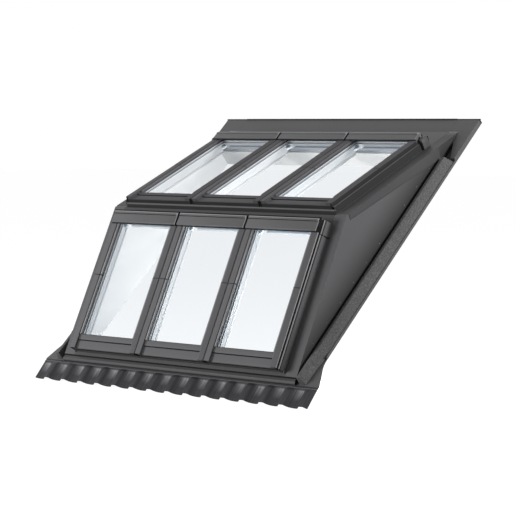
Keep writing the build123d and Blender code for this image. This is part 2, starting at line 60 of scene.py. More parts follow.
# ---------------------------------------------------------------- studio
# A plain pale floor touches the lowest fold of the apron. Two broad soft lamps stand in front and
# beside the cheek, and a weak one glows on the room side of the windows. The surroundings are
# white to the eye and pale grey to the object.
camera_azimuth = radians(40.76)
camera_elevation = radians(3.76)
camera_distance = 17.52
camera_right = Vector((cos(camera_azimuth), sin(camera_azimuth), 0.0))
camera_back = Vector((
    sin(camera_azimuth) * cos(camera_elevation),
    -cos(camera_azimuth) * cos(camera_elevation),
    sin(camera_elevation),
))
camera_up = camera_back.cross(camera_right)
sill_middle, aim_right, aim_up = Vector((0.0, -0.0595, 0.0675)), 0.704, 0.915
camera_aim = sill_middle + aim_right * camera_right + aim_up * camera_up
camera = bpy.data.objects.new("camera", bpy.data.cameras.new("camera"))
camera.data.lens = 144.0
camera.data.sensor_width = 36.0
camera.data.clip_end = 200.0
camera.matrix_world = Matrix.Translation(camera_aim + camera_distance * camera_back) @ (
    Matrix((camera_right, camera_up, camera_back)).transposed().to_4x4()
)
bpy.context.scene.collection.objects.link(camera)
bpy.context.scene.camera = camera
bpy.context.scene.view_settings.view_transform = "Standard"


class Tone:
    """A socket in a node tree that takes part in sums, or the bare tree to start from."""

    def __init__(self, tree, socket=None):
        self.tree = tree
        self.socket = socket

    def node(self, kind, settings=None, values=None, out=0):
        """Makes a node, links or fills its inputs, and gives back one of its outputs."""
        made = self.tree.nodes.new(kind)
        for name, value in (settings or {}).items():
            if name == "stops":
                while len(made.color_ramp.elements) < len(value):
                    made.color_ramp.elements.new(1.0)
                for element, (place, shade) in zip(made.color_ramp.elements, value):
                    element.position = place
                    element.color = (shade, shade, shade, 1.0)
            else:
                setattr(made, name, value)
        for name, value in (values or {}).items():
            if isinstance(value, Tone):
                self.tree.links.new(value.socket, made.inputs[name])
            else:
                made.inputs[name].default_value = value
        return Tone(self.tree, made.outputs[out])

    def twin(self, out):
        """Another output of the node that this socket comes from."""
        return Tone(self.tree, self.socket.node.outputs[out])

    def sum(self, operation, *terms):
        return self.node("ShaderNodeMath", {"operation": operation}, dict(enumerate(terms)))

    def __add__(self, other):
        return self.sum("ADD", self, other)

    def __radd__(self, other):
        return self.sum("ADD", other, self)

    def __sub__(self, other):
        return self.sum("SUBTRACT", self, other)

    def __rsub__(self, other):
        return self.sum("SUBTRACT", other, self)

    def __mul__(self, other):
        return self.sum("MULTIPLY", self, other)

    def __rmul__(self, other):
        return self.sum("MULTIPLY", other, self)

    def tint(self, dark, light):
        """Colour between dark and light by this socket."""
        return self.node(
            "ShaderNodeMix", {"data_type": "RGBA"}, {0: self, 6: (*dark, 1.0), 7: (*light, 1.0)}, 2
        )

    def ramp(self, *stops):
        """This socket through a grey ramp of (place, value) stops."""
        return self.node("ShaderNodeValToRGB", {"stops": stops}, {0: self})


world = bpy.data.worlds.new("white_room")
world.use_nodes = True
world.node_tree.nodes.clear()
bpy.context.scene.world = world
room = Tone(world.node_tree)
ray = room.node("ShaderNodeLightPath")
seen = ray.sum("MAXIMUM", ray, ray.twin("Is Glossy Ray"))
seen = seen.sum("MAXIMUM", seen, ray.twin("Is Transmission Ray"))
room_light = 0.22
room.tree.links.new(
    room.node(
        "ShaderNodeBackground", None,
        {0: (1.0, 1.0, 1.0, 1.0), 1: room_light + (1.0 - room_light) * seen},
    ).socket,
    room.tree.nodes.new("ShaderNodeOutputWorld").inputs[0],
)

for lamp_name, lamp_place, lamp_power, lamp_size in (
    ("front_lamp", (-6.8, -10.0, 2.6), 1230.0, 4.0),
    ("cheek_lamp", (12.0, 5.2, 6.6), 1420.0, 3.0),
    ("room_lamp", (0.8, 1.3, 0.0), 92.0, 1.3),
):
    lamp = bpy.data.objects.new(lamp_name, bpy.data.lights.new(lamp_name, "AREA"))
    lamp.data.energy = lamp_power
    lamp.data.size = lamp_size
    lamp.location = lamp_place
    lamp.visible_camera = lamp.visible_glossy = lamp.visible_transmission = lamp_name != "room_lamp"
    lamp.rotation_euler = (Vector((0.0, 0.9, 0.9)) - lamp.location).to_track_quat("-Z", "Y").to_euler()
    bpy.context.scene.collection.objects.link(lamp)

floor_mesh = bpy.data.meshes.new("floor")
floor_edge, floor_level = 60.0, cad_box[0][2] - 0.002
floor_mesh.from_pydata(
    [(sx * floor_edge, sy * floor_edge, floor_level) for sx, sy in ((-1, -1), (1, -1), (1, 1), (-1, 1))],
    [], [(0, 1, 2, 3)],
)
floor = bpy.data.objects.new("floor", floor_mesh)
bpy.context.scene.collection.objects.link(floor)
floor_finish = bpy.data.materials.new("floor_white")
floor_finish.use_nodes = True
floor_finish.node_tree.nodes.clear()
ground = Tone(floor_finish.node_tree)
ray = ground.node("ShaderNodeLightPath")
lit = ground.node("ShaderNodeBsdfDiffuse", None, {"Color": ray.tint((0.30, 0.30, 0.30), (0.27, 0.27, 0.27))})
glow = ground.node("ShaderNodeEmission", None, {"Strength": ray * 0.93})
ground.tree.links.new(
    ground.node("ShaderNodeAddShader", None, {0: lit, 1: glow}).socket,
    ground.tree.nodes.new("ShaderNodeOutputMaterial").inputs[0],
)
floor_mesh.materials.append(floor_finish)

# ---------------------------------------------------------------- cheeks and beams
# Each cheek is a triangular timber-faced slab with a white lining board on the room side. Three
# planed timbers, primed white, run between them: under the sill, at the ridge and at the head.
mm = 0.001
roof_pitch, front_pitch, upper_pitch = radians(41.4), radians(63.3), radians(23.3)
toe_height, front_length = 90.0, 1443.0


def slope(origin, pitch):
    """Place on a slope, in millimetres: x across, 'along' up the slope and 'out' from it."""
    def place(x, along, out=0.0):
        return Vector((
            x * mm,
            origin[0] + (along * cos(pitch) - out * sin(pitch)) * mm,
            origin[1] + (along * sin(pitch) + out * cos(pitch)) * mm,
        ))
    return place


on_roof = slope((0.0, 0.0), roof_pitch)
toe = on_roof(0.0, 0.0, toe_height)
on_front = slope((toe.y, toe.z), front_pitch)
ridge = on_front(0.0, front_length)
on_upper = slope((ridge.y, ridge.z), upper_pitch)


def new_finish(name, metallic=0.0, specular=0.5):
    """A material with its shader, and a Tone to build its colour, gloss and relief from."""
    finish = bpy.data.materials.new(name)
    finish.use_nodes = True
    finish.node_tree.nodes.clear()
    start = Tone(finish.node_tree)
    shader = finish.node_tree.nodes.new("ShaderNodeBsdfPrincipled")
    shader.inputs["Metallic"].default_value = metallic
    shader.inputs["Specular IOR Level"].default_value = specular
    end = finish.node_tree.nodes.new("ShaderNodeOutputMaterial")
    finish.node_tree.links.new(shader.outputs[0], end.inputs[0])

    def connect(colour=None, roughness=None, relief=None, depth=0.001, strength=0.5):
        if colour is not None:
            start.tree.links.new(colour.socket, shader.inputs["Base Color"])
        if roughness is not None:
            start.tree.links.new(roughness.socket, shader.inputs["Roughness"])
        if relief is not None:
            bump = start.node(
                "ShaderNodeBump", None, {"Strength": strength, "Distance": depth, "Height": relief}
            )
            start.tree.links.new(bump.socket, shader.inputs["Normal"])
    return finish, start, shader, connect


def spot_of(start):
    """Object coordinates, in metres."""
    return start.node("ShaderNodeTexCoord", out=3)


def turned(spot, angle=(0.0, 0.0, 0.0), scale=(1.0, 1.0, 1.0)):
    """The same coordinates, turned and stretched."""
    return spot.node(
        "ShaderNodeMapping", {"vector_type": "POINT"}, {"Vector": spot, "Rotation": angle, "Scale": scale}
    )


def noise(spot, scale, detail=3.0, rough=0.55):
    """Cloudy noise from 0 to 1; a larger scale gives a finer pattern."""
    return spot.node(
        "ShaderNodeTexNoise", None, {"Vector": spot, "Scale": scale, "Detail": detail, "Roughness": rough}
    )


def planed_timber(name, dark, light, pitch):
    """Softwood whose grain runs across the dormer."""
    finish, start, shader, connect = new_finish(name)
    spot = turned(spot_of(start), (-pitch, 0.0, 0.0), (0.5, 9.0, 9.0))
    rings = noise(spot, 3.0, 4.0)
    grain = (rings * 26.0).sum("FRACT", rings * 26.0)
    fibre = noise(turned(spot_of(start), (-pitch, 0.0, 0.0), (3.0, 160.0, 160.0)), 4.0)
    shade = 0.55 * grain + 0.45 * fibre
    connect(shade.tint(dark, light), 0.50 + 0.22 * fibre, shade, 0.0006, 0.35)
    return finish


def dress(finish, *nodes):
    """Gives a finish to CAD nodes whose shape stays."""
    for name in nodes:
        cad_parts[name].data.materials.clear()
        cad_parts[name].data.materials.append(finish)


beam_finish = planed_timber("white_primed_timber", (0.52, 0.515, 0.505), (0.61, 0.605, 0.595), 0.0)
dress(beam_finish, "sill_beam", "ridge_beam", "head_beam")
board_finish = planed_timber("cheek_board", (0.40, 0.29, 0.17), (0.60, 0.47, 0.31), roof_pitch)
dress(board_finish, "left_cheek", "right_cheek")

lining_finish, start, shader, connect = new_finish("lining_board")
spot = spot_of(start)
mottle = noise(spot, 7.0)
connect(
    mottle.tint((0.82, 0.82, 0.815), (0.88, 0.88, 0.875)), 0.62 + 0.1 * mottle,
    noise(spot, 420.0), 0.0004, 0.25,
)
dress(lining_finish, "left_cheek_lining", "right_cheek_lining")

# ---------------------------------------------------------------- window frames and sashes
# Each window is a frame and a pivoting sash of white-painted laminated timber. Slim white beads
# finish the room side of every frame, where the linings of the opening meet it.
half_window = 390.0
lengths = {"lower": 1326.0, "upper": 1398.0}
slopes = {"lower": on_front, "upper": on_upper}
window_foot = {"lower": 36.0, "upper": 30.0}
cover_level = {"lower": 110.0, "upper": 98.0}
columns = {"left": -798.0, "middle": 0.0, "right": 798.0}


def seated(place, foot, cover, x):
    """Place in a window, in millimetres: across, up from its foot and out from its covers."""
    def spot(across, along, out=0.0):
        return place(x + across, foot + along, cover + out)
    return spot


windows = {
    f"{row}_{column}": seated(slopes[row], window_foot[row], cover_level[row], x)
    for row in slopes for column, x in columns.items()
}


def inset_in(window, side):
    """Lays a section up one side of a window: a is the inset from its edge, b out from its covers."""
    def spot(a, b, along):
        return window(side * (half_window - a), along, b)
    return spot


class Stock:
    """Points and faces gathered for one piece, in metres."""

    def __init__(self):
        self.points = []
        self.faces = []

    def loft(self, rings, capped=True):
        """Skin through closed rings of points, filled at both ends when it is capped."""
        count, first = len(rings[0]), len(self.points)
        self.points += [point for ring in rings for point in ring]
        last = len(self.points) - count
        for near in range(first, last, count):
            far = near + count
            for k in range(count):
                after = (k + 1) % count
                self.faces.append((near + k, near + after, far + after, far + k))
        if capped:
            self.faces.append(tuple(range(first, first + count))[::-1])
            self.faces.append(tuple(range(last, last + count)))

    def bar(self, place, section, start, end):
        """Straight run of a section from one station to another: place(a, b, station)."""
        self.loft([[place(a, b, station) for a, b in section] for station in (start, end)])

    def hoop(self, place, section, half, foot, head):
        """Section run round a rectangle with mitred corners: a is the inset, b the height."""
        rings = []
        for sx, low in ((-1, True), (1, True), (1, False), (-1, False)):
            rings.append([
                place(sx * (half - a), foot + a if low else head - a, b) for a, b in section
            ])
        rings.append(rings[0])
        self.loft(rings, capped=False)


def piece(name, stock, finish, edge=0.0, steps=2, sharp=38.0):
    """Makes one object from a stock, with its edges rounded by a small bevel."""
    mesh = bpy.data.meshes.new(name)
    mesh.from_pydata(stock.points, [], stock.faces)
    work = bmesh.new()
    work.from_mesh(mesh)
    bmesh.ops.remove_doubles(work, verts=work.verts, dist=0.00001)
    bmesh.ops.recalc_face_normals(work, faces=work.faces)
    work.to_mesh(mesh)
    work.free()
    made = bpy.data.objects.new(name, mesh)
    bpy.context.scene.collection.objects.link(made)
    if edge:
        bevel = made.modifiers.new("edge", "BEVEL")
        bevel.width = edge * mm
        bevel.segments = steps
        bevel.limit_method = "ANGLE"
        bevel.angle_limit = radians(28.0)
        bevel.use_clamp_overlap = True
        made.data = bpy.data.meshes.new_from_object(
            made.evaluated_get(bpy.context.evaluated_depsgraph_get())
        )
        made.modifiers.clear()
    return settle(made, finish, sharp)


def settle(made, finish, sharp=38.0):
    """Gives a made piece its shading, finish, body and material slot."""
    made.data.name = made.name
    made.data.polygons.foreach_set("use_smooth", [True] * len(made.data.polygons))
    made.data.set_sharp_from_angle(angle=radians(sharp))
    made.data.materials.clear()
    made.data.materials.append(finish)
    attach(made, "root")
    return made


def white_paint(name, pitch):
    """Satin white paint over timber; the grain shows only as a faint relief."""
    finish, start, shader, connect = new_finish(name)
    spot = turned(spot_of(start), (-pitch, 0.0, 0.0), (14.0, 1.2, 14.0))
    grain = noise(spot, 9.0, 4.0, 0.6)
    cloud = noise(spot_of(start), 3.0)
    connect(
        cloud.tint((0.58, 0.585, 0.59), (0.65, 0.655, 0.66)), 0.30 + 0.16 * grain, grain, 0.0004, 0.22
    )
    return finish


whites = {
    "lower": white_paint("white_paint_lower", front_pitch),
    "upper": white_paint("white_paint_upper", upper_pitch),
}
bead_profile = [(22, -147), (38, -147), (40, -149), (40, -163), (38, -165), (26, -165), (22, -161)]
bead_foot, bead_head = 74.0, 76.0
for name, spot in windows.items():
    row = name.split("_")[0]
    dress(whites[row], f"{name}_frame", f"{name}_sash")
    beads = Stock()
    for side in (-1, 1):
        # The left bead's outline runs the other way round, so that both edges are rounded alike.
        beads.bar(inset_in(spot, side), bead_profile[::side], bead_foot, lengths[row] - bead_head)
    piece(f"{name}_reveal_beads", beads, whites[row], 1.0)

# ---------------------------------------------------------------- sealed glass units
# Two clear panes with a perforated aluminium spacer between their edges and a black rubber
# gasket on top, pressed down by the covers. The glass has a faint cold tint and thin dust.
glass_finish, start, shader, connect = new_finish("clear_glass", specular=0.3)
shader.inputs["Alpha"].default_value = 0.10
dust = noise(spot_of(start), 2.2, 5.0).ramp((0.35, 0.0), (0.8, 1.0))
connect(dust.tint((0.16, 0.36, 0.52), (0.20, 0.40, 0.56)), 0.02 + 0.05 * dust)
dress(glass_finish, *[f"{name}_glass" for name in windows])

spacer_finish, start, shader, connect = new_finish("spacer_metal", metallic=0.6)
holes = start.node("ShaderNodeTexVoronoi", None, {"Vector": spot_of(start), "Scale": 260.0})
hole_edge = holes.ramp((0.10, 0.0), (0.30, 1.0))
connect(hole_edge.tint((0.10, 0.10, 0.11), (0.50, 0.51, 0.53)), 0.35 + 0.2 * holes)
rubber_finish, start, shader, connect = new_finish("black_rubber", specular=0.3)
spot = spot_of(start)
bloom = noise(spot, 35.0)
connect(
    bloom.tint((0.012, 0.012, 0.013), (0.030, 0.030, 0.032)), 0.55 + 0.2 * bloom,
    noise(spot, 900.0), 0.0003, 0.2,
)

glass_foot, glass_inset, spacer_reach = 131.0, 70.0, 7.0
spacer_profile = [(72, -31), (78, -31), (78, -50), (72, -50)]
gasket_profile = [
    (0, -28), (0, -25.5), (1.2, -24.6), (2.2, -26.4), (3.4, -26.4), (4.6, -24.8), (5.6, -26.6), (6.5, -28),
]
for name, spot in windows.items():
    length = lengths[name.split("_")[0]]
    spacers = Stock()
    spacers.hoop(spot, spacer_profile, half_window, -spacer_reach, length + spacer_reach)
    piece(f"{name}_spacer", spacers, spacer_finish, 0.6)
    gasket = Stock()
    gasket.hoop(spot, gasket_profile, half_window - glass_inset, glass_foot, length - glass_inset)
    piece(f"{name}_gasket", gasket, rubber_finish)

# ---------------------------------------------------------------- window covers
# Folded aluminium sheet, powder coated anthracite. The side covers stand proud with a ribbed lip
# down to the glass; the foot covers lie lower, and everything parts in two at the pivot.
def coated_sheet(name, dark, light, roughness, shade=None, specular=0.2, shaded=0.042):
    """Powder-coated sheet: fine orange-peel relief, a soft cloud of tone and faint scuffs. A shade mask, when
    given, mixes in the shaded colour as painted shade.
    """
    finish, start, shader, connect = new_finish(name, specular=specular)
    spot = spot_of(start)
    cloud = noise(spot, 1.7, 2.0)
    speck = noise(spot, 1100.0, 2.0, 0.7)
    scuff = noise(turned(spot, (0.3, 0.2, 0.5), (3.0, 30.0, 3.0)), 2.0, 5.0).ramp((0.55, 0.0), (0.85, 1.0))
    colour = (0.55 * cloud + 0.30 * speck + 0.15 * scuff).tint(dark, light)
    if shade is not None:
        colour = start.node("ShaderNodeMix", {"data_type": "RGBA"}, {
            0: shade(spot), 6: (shaded, shaded, shaded * 1.02, 1.0), 7: colour,
        }, 2)
    connect(colour, roughness + 0.10 * scuff + 0.05 * speck, speck, 0.0005, 0.10)
    return finish


def across_on(place, start=0.0):
    """Lays a section across the dormer: a is up the slope from the start, b is out from it."""
    def spot(a, b, x):
        return place(x, start + a, b)
    return spot


# The upper row's covers are a darker copy of the same coating: painted shade for the weaker light on the
# upper slope.
cover_finishes = {
    row: coated_sheet(name, dark, light, 0.48, specular=0.1)
    for row, name, dark, light in (
        ("lower", "coated_covers", (0.124, 0.123, 0.128), (0.160, 0.159, 0.165)),
        ("upper", "coated_upper_covers_painted_shade", (0.072, 0.071, 0.075), (0.096, 0.095, 0.100)),
    )
}
# A paler copy of the coating for hems, lips and rails: a painted highlight on folded edges.
highlight_edge_finish = coated_sheet("coated_edges_painted_highlight", (0.300, 0.300, 0.306), (0.360, 0.360, 0.367), 0.42)
# Near black for seals, caps and joint strips; where these fill gaps and grooves it is painted shade.
gap_finish = coated_sheet("black_seal_and_painted_shadow", (0.010, 0.010, 0.011), (0.016, 0.016, 0.017), 0.7, specular=0.1)
cover_crest = [
    (-3, -56), (-3, -2), (-2.4, -0.7), (-1, 0), (45, 0), (46.5, 0.9), (55, 0.9), (56.8, 0.2), (57.4, -1),
]
cover_back = [(0, -3), (-1, -4), (-1, -56)]
side_profile = cover_crest + [
    (57.6, -9.6), (74, -9.6), (74, -27.6), (72, -27.6), (72, -12.5), (56, -12.5), (55.5, -2.6),
] + cover_back
foot_profile = cover_crest + [(57.6, -9), (57.6, -34), (55.6, -34), (55.6, -9), (55, -2.6)] + cover_back
jamb_end_plate = [(-0.8, -56), (-0.8, -3.4), (53, -3.4), (54.8, -7), (54.8, -56)]
step_end_plate = [(55, -10), (73.8, -10), (73.8, -27.6), (55, -27.6)]
frame_corner_fillet = [(55.2, -1.5), (60, -12), (67, -19), (78, -23.2), (78, -26), (55.2, -26)]
sash_corner_fillet = [(55.2, -1.5), (60, -9), (67, -14), (78, -17.6), (78, -22), (55.2, -22)]
frame_foot_profile = [
    (-3, -54), (-3, -34), (-2.6, -30), (-1, -26), (3, -24), (10, -23.2), (68, -22.6), (71.5, -22.9),
    (73, -24), (74, -26.5), (71.5, -27), (70, -25.2), (12, -25.7), (4, -27), (1, -29), (-0.6, -33), (-1, -54),
]
sash_foot_profile = [
    (81, -33.5), (81, -19.8), (82.4, -17.8), (85, -17), (126, -16.8), (129.6, -17.4), (131, -19),
    (131, -27.5), (128.5, -27.5), (127, -20), (86, -20), (84, -21.5), (83.5, -33.5),
]
skirt_profile = [(-4.4, -58.2), (-4.4, -109), (-3.2, -109), (-3.2, -58.2)]
head_profile = [
    (-70, -27.6), (-70, -2), (-69, -0.6), (-67, 0), (0, 0), (0, -3), (-66, -3), (-68, -5), (-68, -27.6),
]
pivot, pivot_gap, upper_half_rise = 699.0, 3.2, 0.8
raised_profile = [(a, b + (upper_half_rise if b > -9 else 0.0)) for a, b in side_profile]
inner_half, corner_length, corner_depth = half_window - 57.0, 11.0, 11.0
stations = []
for share in (0.0, 0.12, 0.35, 0.65, 1.0):
    drop = corner_depth * (1.0 - (1.0 - (1.0 - share) ** 2) ** 0.5)
    stations.append((-inner_half + 2.2 + share * corner_length, drop))
stations += [(-x, drop) for x, drop in reversed(stations)]
for name, spot in windows.items():
    row = name.split("_")[0]
    length = lengths[row]
    covers = Stock()
    for side in (-1, 1):
        along_side = inset_in(spot, side)
        covers.bar(along_side, foot_profile, -3.0, glass_foot + 0.5)
        covers.bar(along_side, jamb_end_plate, -3.0, -1.2)
        covers.bar(along_side, frame_corner_fillet, 0.5, 73.0)
        covers.bar(along_side, sash_corner_fillet, 82.0, 130.5)
        covers.bar(along_side, side_profile, glass_foot + 0.5, pivot - pivot_gap)
        covers.bar(along_side, step_end_plate, glass_foot + 0.6, glass_foot + 2.2)
        covers.bar(along_side, raised_profile, pivot + pivot_gap, length)
    across = across_on(spot)
    covers.bar(across_on(spot, length), head_profile, -inner_half, inner_half)
    covers.loft([
        [spot(x, a - (drop if a > 60 else 0.0), b) for a, b in frame_foot_profile] for x, drop in stations
    ])
    covers.bar(across, sash_foot_profile, 0.8 - inner_half, inner_half - 0.8)
    if row == "lower":
        covers.bar(across, skirt_profile, -388.0, 388.0)
    made = piece(f"{name}_cover_sheets", covers, cover_finishes[row], 0.5, 1)
    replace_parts(made, f"{name}_covers")

# ---------------------------------------------------------------- seals and painted shade strips of the windows
# Dark strips down both outer sides under the covers, in the groove between frame and sash, across
# the foot, and in the joint at the pivot: black rubber and plastic, and also painted shade for the
# shadow in these gaps and on the dark foot faces. A ribbed metal lip holds the glass.
shade_finish = coated_sheet("dark_strip_painted_shade", (0.024, 0.024, 0.025), (0.036, 0.036, 0.037), 0.62, specular=0.1)
pivot_seal = [
    (-2.5, -32), (-2.5, -2), (45, -1.2), (53, -0.6), (55.5, -4), (57, -9), (62.6, -8), (64, -4), (73, -4),
    (73, -27.5), (54, -32),
]
lower_side_seal = [(-4, -60), (-4, -15), (-3.2, -14), (-3.2, -60)]
lower_side_lip = [(-3.9, -13.5), (-3.9, -4), (-3.2, -3), (-3.2, -13.5)]
upper_side_strip = [(-4, -60), (-4, -4), (-3.2, -3), (-3.2, -60)]
groove_strip = [(57.8, -9.4), (62.3, -9.4), (62.3, -8.8), (57.8, -8.8)]
glass_lip = [(62.4, -9.4), (62.4, -4.8), (64, -3.2), (72.5, -3.2), (74, -4.6), (74, -9.4)]
corner_seal = [(-3.5, -6), (4, -4), (8.5, -8), (10.5, -30), (7.5, -58), (-3.5, -58)]
sash_gap_seal = [(70, -38), (80.8, -38), (80.8, -18.8), (79.6, -19.4), (78.6, -28), (70, -28)]
foot_strips = {
    "lower": [(-4.4, -38), (-4.4, -58), (-3.2, -58), (-3.2, -38)],
    "upper": [(-4.4, -27), (-4.4, -57), (-3.2, -57), (-3.2, -27)],
}
# The glass lips are paler than the covers of their row: a painted highlight.
lip_finishes = {"lower": highlight_edge_finish, "upper": cover_finishes["lower"]}
for name, spot in windows.items():
    row = name.split("_")[0]
    length = lengths[row]
    seals, lips, strips = Stock(), Stock(), Stock()
    for side in (-1, 1):
        beside = inset_in(spot, side)
        seals.bar(beside, pivot_seal, pivot - 5.0, pivot + 5.0)
        if row == "lower":
            seals.bar(beside, lower_side_seal, -3.0, length)
            lips.bar(beside, lower_side_lip, -3.0, 1236.0)
        else:
            strips.bar(beside, upper_side_strip, -3.0, length)
        seals.bar(beside, groove_strip, glass_foot, length)
        lips.bar(beside, glass_lip, glass_foot + 0.5, pivot - pivot_gap)
        lips.bar(beside, glass_lip, pivot + pivot_gap, length)
        seals.bar(beside, corner_seal, -5.6, -3.2)
    across = across_on(spot)
    seals.bar(across, sash_gap_seal, -332.0, 332.0)
    piece(f"{name}_joint_seals", seals, gap_finish)
    piece(f"{name}_glass_lips", lips, lip_finishes[row], 0.5, 1)
    # The strips down the sides of the upper row and across each foot are near black: painted shade.
    strips.bar(across, foot_strips[row], -half_window, half_window)
    piece(f"{name}_painted_shade_strips", strips, shade_finish)

# ---------------------------------------------------------------- vent bars and hinges
# An anodised ventilation flap hangs on the room side of each top sash rail, with a dark seal along
# its lower edge. The lower row's bars are painted much paler than the upper row's, a painted light
# for bars that lie in shade behind the glass. White hinge covers sit beside it in the upper corners
# of every sash.
def brushed_metal(name, dark, light):
    """Anodised aluminium with fine lines along its length."""
    finish, start, shader, connect = new_finish(name, metallic=0.2)
    brush = noise(turned(spot_of(start), (0.0, 0.0, 0.0), (2.0, 240.0, 240.0)), 3.0)
    connect(brush.tint(dark, light), 0.34 + 0.2 * brush, brush, 0.0002, 0.2)
    return finish


vent_finishes = {
    "lower": brushed_metal("anodised_painted_light", (0.84, 0.84, 0.86), (0.92, 0.92, 0.94)),
    "upper": brushed_metal("grey_anodised", (0.30, 0.31, 0.35), (0.36, 0.37, 0.41)),
}
vent_profile = [
    (-36, -74.5), (-36, -88), (-33, -92), (-26, -95.5), (-12, -95.5), (-7, -93), (-5, -86), (-5, -74.5),
]
vent_seal_profile = [(-4.6, -76), (-4.6, -93), (-0.6, -93), (-0.6, -76)]
sash_rail, hinge_half = 84.0, 332.0
hinge_plan = [(0, 8), (50, 8), (56, 0), (56, -28), (44, -44), (8, -46), (0, -38)]
bars, bar_seals, hinges = {"lower": Stock(), "upper": Stock()}, Stock(), Stock()
for name, spot in windows.items():
    row = name.split("_")[0]
    head = lengths[row] - sash_rail
    across_bar = across_on(spot, head)
    bars[row].bar(across_bar, vent_profile, -222.0, 248.0)
    bar_seals.bar(across_bar, vent_seal_profile, -215.0, 246.0)
    for side in (-1, 1):
        hinges.loft([
            [spot(side * (hinge_half - a), head + b, depth) for a, b in hinge_plan]
            for depth in (-74.5, -96.0)
        ])
piece("vent_bar_seals", bar_seals, gap_finish)
for row, finish in vent_finishes.items():
    made = piece(f"{row}_vent_bars", bars[row], finish, 1.5)
    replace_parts(made, "vent_bars")
hinge_finish, start, shader, connect = new_finish("cast_white", specular=0.5)
cloud = noise(spot_of(start), 60.0)
connect(cloud.tint((0.82, 0.82, 0.83), (0.90, 0.90, 0.91)), 0.4 + 0.1 * cloud)
piece("hinge_covers", hinges, hinge_finish, 3.0)

# ---------------------------------------------------------------- hoods
# A pressed aluminium hood closes the head of each window: rounded nose, sloping face and a raised
# band near the top, with folded hems painted bright as a painted highlight. Black plastic end caps
# and a rubber lip keep rain out; with the dark strips in the groove and over the head, they are near
# black and also paint the shade in the joints.
hood_finish = coated_sheet("coated_hoods", (0.118, 0.119, 0.122), (0.150, 0.151, 0.155), 0.44)
hood_profiles = {
    "lower": [
        (1243, 2), (1240.5, 5), (1240, 10), (1240, 15), (1241.5, 18.5), (1245, 20.6), (1250, 21.2),
        (1256, 21.0), (1327, 16.8), (1328.5, 15.0), (1330.5, 15.2), (1332, 20.4), (1350, 19.4), (1354, 18),
        (1356, 15), (1356, 1.5), (1353.5, 1.5), (1353, 13), (1348, 16), (1333, 16), (1329, 12), (1256, 17.2),
        (1246, 16), (1243.5, 13), (1243.5, 8), (1246, 3.5),
    ],
    "upper": [
        (1321, 2), (1318, 4), (1317, 8), (1318, 12), (1322, 14.6), (1328, 16.2), (1334, 18.2), (1378, 31.6),
        (1380, 32), (1382, 35.4), (1385, 37.2), (1391, 38.8), (1396, 39), (1401, 38), (1404, 34), (1419, 2),
        (1415, 2), (1401, 32), (1397, 35), (1391, 35), (1384, 32), (1334, 15.5), (1325, 12.5), (1321, 9.5),
        (1321, 7), (1323, 4),
    ],
}
outer_points = 16
hood_half = half_window + 0.5
hood_end, hem_end = hood_half - 5.0, hood_half - 4.4
for row, profile in hood_profiles.items():
    hoods, caps, hems = Stock(), Stock(), Stock()
    foot, head = profile[2][0], profile[14][0]
    slope_end, band_start, band_middle, band_end, head_edge = (profile[k] for k in (8, 9, 11, 12, 13))
    middle = sum(a for a, b in profile[:outer_points]) / outer_points
    inside = [(middle + (a - middle) * 0.97, b - 2.0) for a, b in profile[:outer_points] if b > 4]
    end_plate = [(foot + 1.0, -60.0), (foot - 3.0, -8.0)] + inside + [(head - 2.0, -8.0), (head - 2.0, -60.0)]
    raised = [(a + (0.6 if b < 14 and a < foot + 8 else 0.0), b + 0.7) for a, b in profile[3:13]]
    groove = [
        (slope_end[0] - 0.6, slope_end[1] - 2), (slope_end[0] - 0.6, slope_end[1] + 0.6),
        (band_middle[0] - 0.2, band_middle[1] - 0.4), (band_middle[0] - 0.2, slope_end[1] - 2),
    ]
    side_hem = [(a, b - 1.6) for a, b in raised[::-1]] + raised
    head_hem = [
        (head - 9, band_end[1] - 1.4), (head - 9, band_end[1] + 0.9), (head - 7, band_end[1] + 1.6),
        (head - 2, head_edge[1] + 1.6), (head + 0.6, 15), (head + 0.6, 8), (head - 1, 8),
    ]
    corner_hem = [
        (head - 26, band_start[1] - 3), (head - 26, band_end[1] + 0.4),
        (head - 9, band_end[1] + 1.4), (head - 9, band_start[1] - 3),
    ]
    hood_clip = [(foot + 34, 0.6), (foot + 38, 15), (foot + 52, 17), (foot + 58, 0.6)]
    head_shadow_strip = [(head, 1.5), (head, 17), (head + 3, 19), (head + 9, 19), (head + 10, 16), (head + 7, 1.5)]
    foot_lip = [(foot - 5.5, 0.6), (foot - 5.5, 4), (foot - 1, 9), (foot - 0.4, 9), (foot - 0.4, 0.6)]
    for x in columns.values():
        across_hood = across_on(seated(slopes[row], 0.0, cover_level[row], x))
        hoods.bar(across_hood, profile, -hood_half, hood_end)
        hems.bar(across_hood, side_hem, hood_half - 12.0, hem_end)
        hems.bar(across_hood, head_hem, -hood_half, hem_end)
        hems.bar(across_hood, corner_hem, hood_half - 20.0, hem_end)
        # The outermost cap of the upper row is coated sheet, like the hood that it closes.
        ends = hoods if row == "upper" and x > 0.0 else caps
        ends.bar(across_hood, end_plate, hood_half - 4.0, hood_half + 4.0)
        caps.bar(across_hood, groove, -hood_half, hood_half - 34.0)
        caps.bar(across_hood, end_plate, -hood_half - 4.0, -hood_half - 0.4)
        caps.bar(across_hood, hood_clip, hood_half + 4.2, hood_half + 8.6)
        caps.bar(across_hood, head_shadow_strip, -hood_half - 6.0, hood_half + 6.0)
        caps.bar(across_hood, foot_lip, -hood_half - 3.0, hood_half + 3.0)
    made = piece(f"{row}_hood_sheets", hoods, hood_finish, 0.6, 2)
    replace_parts(made, f"{row}_hoods")
    piece(f"{row}_hood_caps", caps, gap_finish, 0.6)
    piece(f"{row}_hood_hems", hems, highlight_edge_finish, 0.4, 1)

